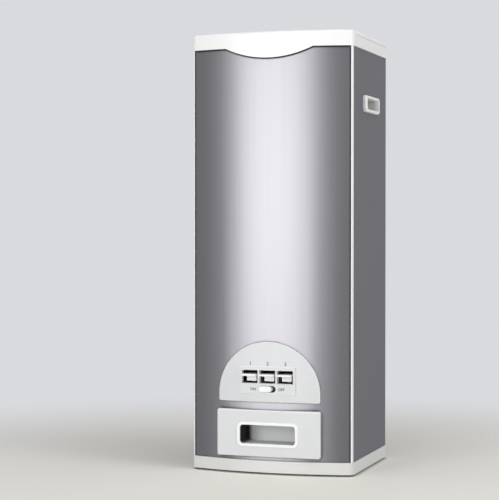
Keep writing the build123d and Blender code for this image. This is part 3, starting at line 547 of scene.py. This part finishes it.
def cross_screw(head_radius, head_height, shank_radius, shank_length, details):
    """A screw along +Z, seated at the origin, with a flared head.

    A cross is sunk from the crown and from the seat. Faces stay over both, so neither is open, and the
    shank grows from the one under the seat.
    """
    mesh = bmesh.new()
    bmesh.ops.create_circle(mesh, cap_ends=True, radius=head_radius, segments=SCREW_SEGMENTS)
    seat = mesh.faces[:]
    bmesh.ops.reverse_faces(mesh, faces=seat)
    raised = bmesh.ops.extrude_face_region(mesh, geom=seat, use_keep_orig=True)["geom"]
    crown = next(item for item in raised if isinstance(item, bmesh.types.BMFace))
    bmesh.ops.translate(mesh, vec=(0.0, 0.0, head_height), verts=crown.verts)
    crown.normal_flip()
    bmesh.ops.bevel(
        mesh, geom=crown.edges[:], offset=details.head_bevel, offset_type="OFFSET",
        affect="EDGES", segments=4, profile=0.5, material=-1,
    )
    for reach in (details.recess_width / 2, details.recess_reach):
        for axis in (Vector((1.0, 0.0, 0.0)), Vector((0.0, 1.0, 0.0))):
            for sign in (-1, 1):
                flat = [face for face in mesh.faces if face.normal.z > FACING_UP]
                cut = flat + [edge for face in flat for edge in face.edges]
                cut += [vert for face in flat for vert in face.verts]
                bmesh.ops.bisect_plane(
                    mesh, geom=list(dict.fromkeys(cut)), plane_co=axis * sign * reach, plane_no=axis,
                    dist=CUT_NEARNESS,
                )
    half = details.recess_width / 2
    cross = []
    for face in mesh.faces:
        x, y, _ = face.calc_center_median()
        near, far = sorted((abs(x), abs(y)))
        if face.normal.z > FACING_UP and near < half and far < details.recess_reach:
            cross.append(face)
    sunk = bmesh.ops.extrude_face_region(mesh, geom=cross)["geom"]
    floor = [item for item in sunk if isinstance(item, bmesh.types.BMVert)]
    bmesh.ops.translate(mesh, vec=(0.0, 0.0, -details.recess_depth), verts=floor)
    bmesh.ops.scale(mesh, vec=(RECESS_TAPER, RECESS_TAPER, 1.0), verts=floor)
    seat_face = min(mesh.faces, key=lambda face: face.calc_center_median().z)
    bmesh.ops.inset_region(mesh, faces=[seat_face], thickness=head_radius - shank_radius)
    shank = bmesh.ops.extrude_face_region(mesh, geom=[seat_face])["geom"]
    tip = [item for item in shank if isinstance(item, bmesh.types.BMVert)]
    bmesh.ops.translate(mesh, vec=(0.0, 0.0, -shank_length), verts=tip)
    bmesh.ops.recalc_face_normals(mesh, faces=mesh.faces)
    return mesh


def coil_spring(low, high, wire_radius, turns):
    """A coil of wire that fills a box: a circle wound up a screw line, with its ends closed."""
    middle_x, middle_y = (low.x + high.x) / 2, (low.y + high.y) / 2
    coil_radius = (high.x - low.x) / 2 - wire_radius
    steps = turns * SPRING_STEPS
    rise = (high.z - low.z - 2 * wire_radius) / steps
    start = Matrix.Translation((middle_x + coil_radius, middle_y, low.z + wire_radius))
    upright = start @ Matrix.Rotation(pi / 2, 4, "X")
    mesh = bmesh.new()
    bmesh.ops.create_circle(mesh, radius=wire_radius, segments=WIRE_SEGMENTS, matrix=upright)
    bmesh.ops.spin(
        mesh, geom=mesh.verts[:] + mesh.edges[:], cent=(middle_x, middle_y, 0.0), axis=(0.0, 0.0, 1.0),
        dvec=(0.0, 0.0, rise), angle=turns * 2 * pi, steps=steps,
    )
    bmesh.ops.holes_fill(mesh, edges=mesh.edges[:])
    bmesh.ops.recalc_face_normals(mesh, faces=mesh.faces)
    for face in mesh.faces:
        face.smooth = True
    return mesh


def lay_on(mesh, node, x, z, thickness):
    """Move an upright mark to a place on a node's front and press it to the surface there."""
    carrier = nodes[node]
    start_y = cad_bounds[0][1] - MARK_START
    for vert in mesh.verts:
        start = Vector((vert.co.x + x, start_y, vert.co.z + z))
        found, hit, _, _ = carrier.ray_cast(start, Vector((0.0, 1.0, 0.0)))
        if not found:
            raise RuntimeError(f"a printed mark misses {node}")
        vert.co = (hit.x, hit.y + vert.co.y - thickness * MARK_RISE, hit.z)
    return mesh


class DISPENSER_OT_casing(bpy.types.Operator):
    """Finish the white mouldings of the casing: base, corner trims, top frame, lid and hand grips"""

    bl_idname = "dispenser.casing"
    bl_label = "Finish Casing"

    def execute(self, context):
        colours = context.scene.dispenser_finishes
        dress(["base"], moulded_plastic("base_white", colours.base, BASE_GLOSS, SMOOTH_SKIN))
        casing = ["corner_trim_left", "corner_trim_right", "top_frame", "lid"]
        dress(casing, moulded_plastic("casing_white", colours.white, WHITE_GLOSS, SMOOTH_SKIN))
        # Painted shade: the grips darken with depth inside their pockets.
        outer_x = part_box("hand_grip_right")[1].x
        clear_x, dark_x = outer_x - GRIP_RIM, outer_x - GRIP_SHADE
        grip = shaded_hollow("grip_white", colours.white, clear_x, dark_x, GRIP_DARKEST, GRIP_GLOSS)
        dress(["hand_grip_left", "hand_grip_right"], grip)
        return {"FINISHED"}


class DISPENSER_OT_sheets(bpy.types.Operator):
    """Finish the metal sheets: the brushed front, and the painted sides and back"""

    bl_idname = "dispenser.sheets"
    bl_label = "Finish Sheets"

    def execute(self, context):
        colours = context.scene.dispenser_finishes
        half_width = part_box("front_panel")[1].x
        dress(["front_panel"], brushed_sheet("front_brushed", colours.front, BRUSHED_SATIN, half_width))
        painted = ["side_panel_left", "side_panel_right", "rear_post_left", "rear_post_right", "back_panel"]
        dress(painted, painted_sheet("side_paint", colours.side))
        return {"FINISHED"}


class DISPENSER_OT_controls(bpy.types.Operator):
    """Finish the control panel, the keys, the lock knob and the drawer front"""

    bl_idname = "dispenser.controls"
    bl_label = "Finish Controls"

    def execute(self, context):
        colours = context.scene.dispenser_finishes
        panel = moulded_plastic("panel_white", colours.panel, PANEL_SATIN, PANEL_SKIN, colours.white)
        dress(["control_panel"], panel)
        # Painted highlight on the drawer front's raised rim, which stands proud of its face.
        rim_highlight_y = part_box("drawer_front")[0].y + RIM_PROUD - 2 * RIM_STEP
        drawer = moulded_plastic("drawer_white", colours.panel, PANEL_SATIN, PANEL_SKIN, colours.white, rim_highlight_y)
        dress(["drawer_front"], drawer)
        # Painted shade: the cup darkens to near black at its ends, where its side walls stand in shadow.
        end_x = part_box("drawer_cup")[1].x - CUP_WALL
        cup = shaded_hollow("cup_grey", colours.grey, end_x - CUP_SHADE, end_x, CUP_DARKEST, CUP_MATT)
        dress(["drawer_cup"], cup)
        touched = ["key_1", "key_2", "key_3", "lock_knob"]
        dress(touched, moulded_plastic("key_white", colours.white, WHITE_GLOSS, SMOOTH_SKIN))
        return {"FINISHED"}


class DISPENSER_OT_works(bpy.types.Operator):
    """Finish what is inside: bin, funnel, tray, measuring works and guides, and the steel and the rubber"""

    bl_idname = "dispenser.works"
    bl_label = "Finish Works"

    def execute(self, context):
        colours = context.scene.dispenser_finishes
        slots = {}
        for part in frame["record"]["subparts"]:
            slots.setdefault(part["material_slot"], []).append(part["node"])
        natural = moulded_plastic("natural_moulding", colours.natural, NATURAL_SATIN, NATURAL_SKIN)
        dress(slots["natural_plastic"], natural)
        black = moulded_plastic("black_moulding", colours.black, BLACK_MATT, BLACK_SKIN)
        dress(slots["black_plastic"], black)
        dress(slots["steel"], plated_steel("zinc_steel", colours.steel))
        dress(slots["foot_rubber"], foot_rubber("foot_black", colours.rubber))
        return {"FINISHED"}


class DISPENSER_OT_screws(bpy.types.Operator):
    """Model the screws that show on the back and under the base"""

    bl_idname = "dispenser.screws"
    bl_label = "Model Screws"

    def execute(self, context):
        details = context.scene.dispenser_details
        material = nodes["back_screws"].material_slots[0].material
        inset = Vector((SCREW_HEAD_RADIUS, SCREW_HEAD_RADIUS, SCREW_HEAD_RADIUS))
        low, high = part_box("back_screws")
        first, last = low + inset, high - inset
        back_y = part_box("back_panel")[1].y
        head_height = high.y - back_y
        rows = [first.z + share * (last.z - first.z) for share in BACK_ROWS]
        facing = Matrix.Rotation(-pi / 2, 4, "X")
        places = [Matrix.Translation((x, back_y, z)) @ facing for x in (first.x, last.x) for z in rows]
        self.model("back_screw_set", "back_screws", places, head_height, back_y - low.y, details, material)

        low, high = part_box("base_screws")
        first, last = low + inset, high - inset
        seat_z = low.z + head_height
        rows = (first.y, last.y)
        facing = Matrix.Rotation(pi, 4, "X")
        places = [Matrix.Translation((x, y, seat_z)) @ facing for x in (first.x, last.x) for y in rows]
        self.model("base_screw_set", "base_screws", places, head_height, high.z - seat_z, details, material)
        return {"FINISHED"}

    def model(self, name, node, places, head_height, shank_length, details, material):
        """One set of screws, turned a little differently each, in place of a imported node."""
        screws = []
        for number, place in enumerate(places):
            screw = cross_screw(SCREW_HEAD_RADIUS, head_height, SCREW_HEAD_RADIUS / 2, shank_length, details)
            turn = Matrix.Rotation(number * SCREW_TURN, 4, "Z")
            bmesh.ops.transform(screw, matrix=place @ turn, verts=screw.verts)
            screws.append(screw)
        piece = new_piece(name, join(screws), "cabinet", material)
        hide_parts(node)


class DISPENSER_OT_springs(bpy.types.Operator):
    """Wind the keys' return springs at their rest length, in place of the imported ones"""

    bl_idname = "dispenser.springs"
    bl_label = "Wind Springs"

    def execute(self, context):
        for number in (1, 2, 3):
            node = f"return_spring_{number}"
            material = nodes[node].material_slots[0].material
            low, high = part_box(node)
            coil = coil_spring(low, high, SPRING_WIRE_RADIUS, SPRING_TURNS)
            piece = new_piece(f"wound_spring_{number}", coil, "cabinet", material)
            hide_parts(node)
            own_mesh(piece)
        return {"FINISHED"}


class DISPENSER_OT_marks(bpy.types.Operator):
    """Print plain numbers over the keys, and words beside the slider"""

    bl_idname = "dispenser.marks"
    bl_label = "Print Marks"

    def execute(self, context):
        details = context.scene.dispenser_details
        thickness = details.mark_thickness
        bpy.context.view_layer.update()
        slot = middle("lock_knob")
        raised_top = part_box("control_panel")[0].z + RAISED_BLOCK_TOP
        number_z = raised_top + details.number_gap + details.number_height / 2
        marks = []
        for number in (1, 2, 3):
            mark = text_mesh(str(number), details.number_height, thickness, details.mark_stroke)
            marks.append(lay_on(mark, "control_panel", middle(f"key_{number}").x, number_z, thickness))
        for word, sign in (("ON", -1), ("OFF", 1)):
            mark = text_mesh(word, details.word_height, thickness, details.mark_stroke)
            x = sign * (SLOT_WIDTH / 2 + details.word_gap)
            marks.append(lay_on(mark, "control_panel", x, slot.z, thickness))
        ink = printed_ink("mark_ink", context.scene.dispenser_finishes.ink)
        new_piece("printed_marks", join(marks), "cabinet", ink)
        return {"FINISHED"}


def softbox(name, place, target, width, height, power):
    """A rectangular lamp that faces a target and that the camera doesn't see."""
    lamp = bpy.data.lights.new(name, "AREA")
    lamp.shape = "RECTANGLE"
    lamp.size = width
    lamp.size_y = height
    lamp.energy = power
    carrier = bpy.data.objects.new(name, lamp)
    carrier.location = place
    carrier.rotation_euler = (Vector(target) - Vector(place)).to_track_quat("-Z", "Y").to_euler()
    carrier.visible_camera = False
    bpy.context.scene.collection.objects.link(carrier)
    return carrier


class DISPENSER_OT_stage(bpy.types.Operator):
    """Set the floor, the surroundings, the lamps and the camera"""

    bl_idname = "dispenser.stage"
    bl_label = "Set Stage"

    def execute(self, context):
        stage = context.scene.dispenser_stage
        self.lay_floor(stage)
        self.fill_surround(context.scene, stage)
        height = cad_bounds[1][2]
        softbox("key_softbox", KEY_PLACE, (0.0, 0.0, KEY_PLACE[2]), KEY_WIDTH, KEY_HEIGHT, stage.key_power)
        place = (KEY_PLACE[0], KEY_PLACE[1] + SHEEN_DEPTH, SHEEN_MIDDLE)
        target = (0.0, 0.0, SHEEN_MIDDLE)
        sheen = softbox("sheen_reflector", place, target, KEY_WIDTH, SHEEN_HEIGHT, stage.sheen_power)
        sheen.visible_diffuse = False
        softbox("fill_softbox", FILL_PLACE, (0.0, 0.0, height), FILL_SIZE, FILL_SIZE, stage.fill_power)
        softbox("top_softbox", TOP_PLACE, (0.0, 0.0, height), TOP_SIZE, TOP_SIZE, stage.top_power)
        self.place_camera(context.scene)
        context.scene.view_settings.view_transform = "Standard"
        return {"FINISHED"}

    def lay_floor(self, stage):
        """A round floor that fades into the colour of the surroundings away from the dispenser, with a
        painted shadow where the dispenser stands close.
        """
        mesh = bmesh.new()
        bmesh.ops.create_circle(mesh, cap_ends=True, radius=stage.floor_radius, segments=FLOOR_SEGMENTS)
        data = bpy.data.meshes.new("floor")
        mesh.to_mesh(data)
        mesh.free()
        floor = bpy.data.objects.new("floor", data)
        floor.visible_glossy = False
        bpy.context.scene.collection.objects.link(floor)
        finish = Finish("pale_floor")
        spot = finish.node("ShaderNodeTexCoord", "Object")
        distance = finish.node("ShaderNodeVectorMath", "Value", {"operation": "LENGTH"}, {0: spot})
        far = finish.step(distance, stage.fade_start, stage.fade_end)
        # Painted shadow: the floor darkens near the dispenser and its feet, besides the shadow that the lamps
        # cast.
        out_of_painted_shade = finish.openness(FLOOR_REACH, *FLOOR_RANGE)
        tone = finish.blend(out_of_painted_shade, shade(stage.floor, FLOOR_DARKEST), stage.floor)
        finish.set(Base_Color=tone, Roughness=0.6, Specular_IOR_Level=0.2)
        glow = finish.node("ShaderNodeEmission", "Emission", None, {"Color": (*stage.surround, 1.0)})
        near = Socket(finish, finish.shader.outputs["BSDF"])
        mixed = finish.node("ShaderNodeMixShader", "Shader", None, {0: far * finish.seen(), 1: near, 2: glow})
        finish.feed(finish.tree.nodes["Material Output"].inputs["Surface"], mixed)
        data.materials.append(finish.material)

    def fill_surround(self, scene, stage):
        """Background that the camera and reflections see, with its own strength of light on matt surfaces."""
        world = bpy.data.worlds.new("studio_surround")
        world.use_nodes = True
        scene.world = world
        shading = Shading(world.node_tree)
        ambient = (stage.ambient, stage.ambient, stage.ambient)
        colour = shading.blend(shading.seen(), ambient, stage.surround)
        shading.feed(world.node_tree.nodes["Background"].inputs["Color"], colour)

    def place_camera(self, scene):
        """A long lens in front of the dispenser, to its right and a little above its middle."""
        data = bpy.data.cameras.new("camera")
        data.lens = CAMERA_LENS
        data.sensor_width = CAMERA_SENSOR
        camera = bpy.data.objects.new("camera", data)
        camera.location = CAMERA_PLACE
        camera.rotation_euler = Vector(CAMERA_AIM).to_track_quat("-Z", "Y").to_euler()
        scene.collection.objects.link(camera)
        scene.camera = camera


OPERATORS = (
    DISPENSER_OT_casing,
    DISPENSER_OT_sheets,
    DISPENSER_OT_controls,
    DISPENSER_OT_works,
    DISPENSER_OT_screws,
    DISPENSER_OT_springs,
    DISPENSER_OT_marks,
    DISPENSER_OT_stage,
)
SETTINGS = {
    "dispenser_finishes": FinishSettings,
    "dispenser_details": DetailSettings,
    "dispenser_stage": StageSettings,
}


class DISPENSER_PT_sidebar(bpy.types.Panel):
    """The steps of the dispenser's looks, and their settings"""

    bl_idname = "DISPENSER_PT_sidebar"
    bl_label = "Rice Dispenser"
    bl_space_type = "VIEW_3D"
    bl_region_type = "UI"
    bl_category = "Dispenser"

    def draw(self, context):
        for operator in OPERATORS:
            self.layout.operator(operator.bl_idname)
        for setting in SETTINGS:
            group = getattr(context.scene, setting)
            box = self.layout.box()
            for name in group.__annotations__:
                box.prop(group, name)


def register():
    """Register the settings, the operators and the sidebar panel."""
    for name, group in SETTINGS.items():
        bpy.utils.register_class(group)
        setattr(bpy.types.Scene, name, bpy.props.PointerProperty(type=group))
    for operator in OPERATORS:
        bpy.utils.register_class(operator)
    bpy.utils.register_class(DISPENSER_PT_sidebar)


def unregister():
    """Remove them again, in the opposite order."""
    bpy.utils.unregister_class(DISPENSER_PT_sidebar)
    for operator in reversed(OPERATORS):
        bpy.utils.unregister_class(operator)
    for name, group in reversed(SETTINGS.items()):
        delattr(bpy.types.Scene, name)
        bpy.utils.unregister_class(group)


def main():
    """Dress the dispenser step by step."""
    register()
    for operator in OPERATORS:
        step = operator.bl_idname.split(".")[1]
        getattr(bpy.ops.dispenser, step)()


if __name__ == "__main__":
    main()
